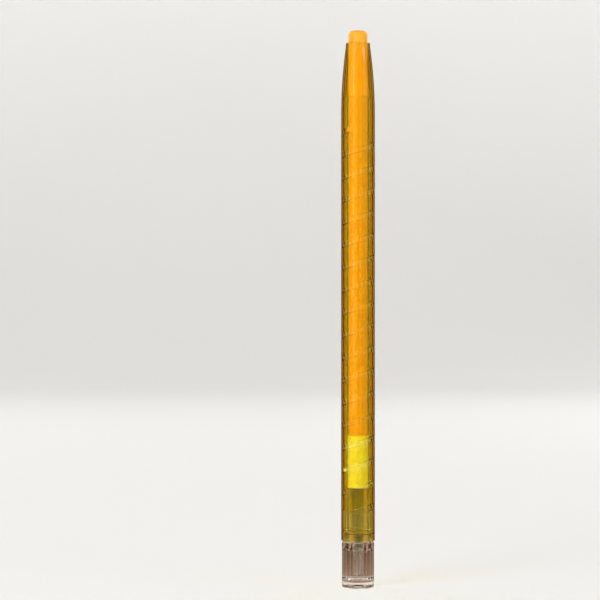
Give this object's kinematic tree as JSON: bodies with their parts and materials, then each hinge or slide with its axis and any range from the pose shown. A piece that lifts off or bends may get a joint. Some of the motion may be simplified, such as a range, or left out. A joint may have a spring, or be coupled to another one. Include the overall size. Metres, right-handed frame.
{
  "type": "twist crayon",
  "caption": "Slim round twist-up crayon: turning the fluted clear knob at the tail winds the wax stick out of, or back into, a tapered see-through barrel.",
  "frame": {"origin": "centre of the knob's flat end face, on which the crayon stands", "axes": "+Z along the crayon's axis towards the wax tip; +X through the two slots of the drive tube, on the side of the carrier's lower lug"},
  "size_m": [0.009, 0.009, 0.1485],
  "materials": {
    "barrel": "see-through golden yellow moulded plastic, glossy",
    "drive_tube": "natural milky polypropylene",
    "carrier": "white moulded polypropylene",
    "wax": "golden yellow wax, satin",
    "knob": "clear moulded polystyrene, glossy"
  },
  "bodies": {
    "barrel": {"barrel": "barrel"},
    "drive": {"twist_knob": "knob", "drive_tube": "drive_tube"},
    "feed": {"carrier": "carrier", "wax_stick": "wax"}
  },
  "joints": [
    {"name": "knob_twist", "type": "hinge", "parent": "barrel", "child": "drive", "pos_m": [0, 0, 0.006], "axis": [0, 0, 1], "range_deg": [-301, 5401]},
    {"name": "wax_feed", "type": "slide", "parent": "drive", "child": "feed", "axis": [0, 0, 1], "range_m": [-0.005, 0.09]}
  ],
  "couplings": [
    {"joint": "knob_twist", "follows": "wax_feed", "rad_per_m": 1047.2}
  ]
}
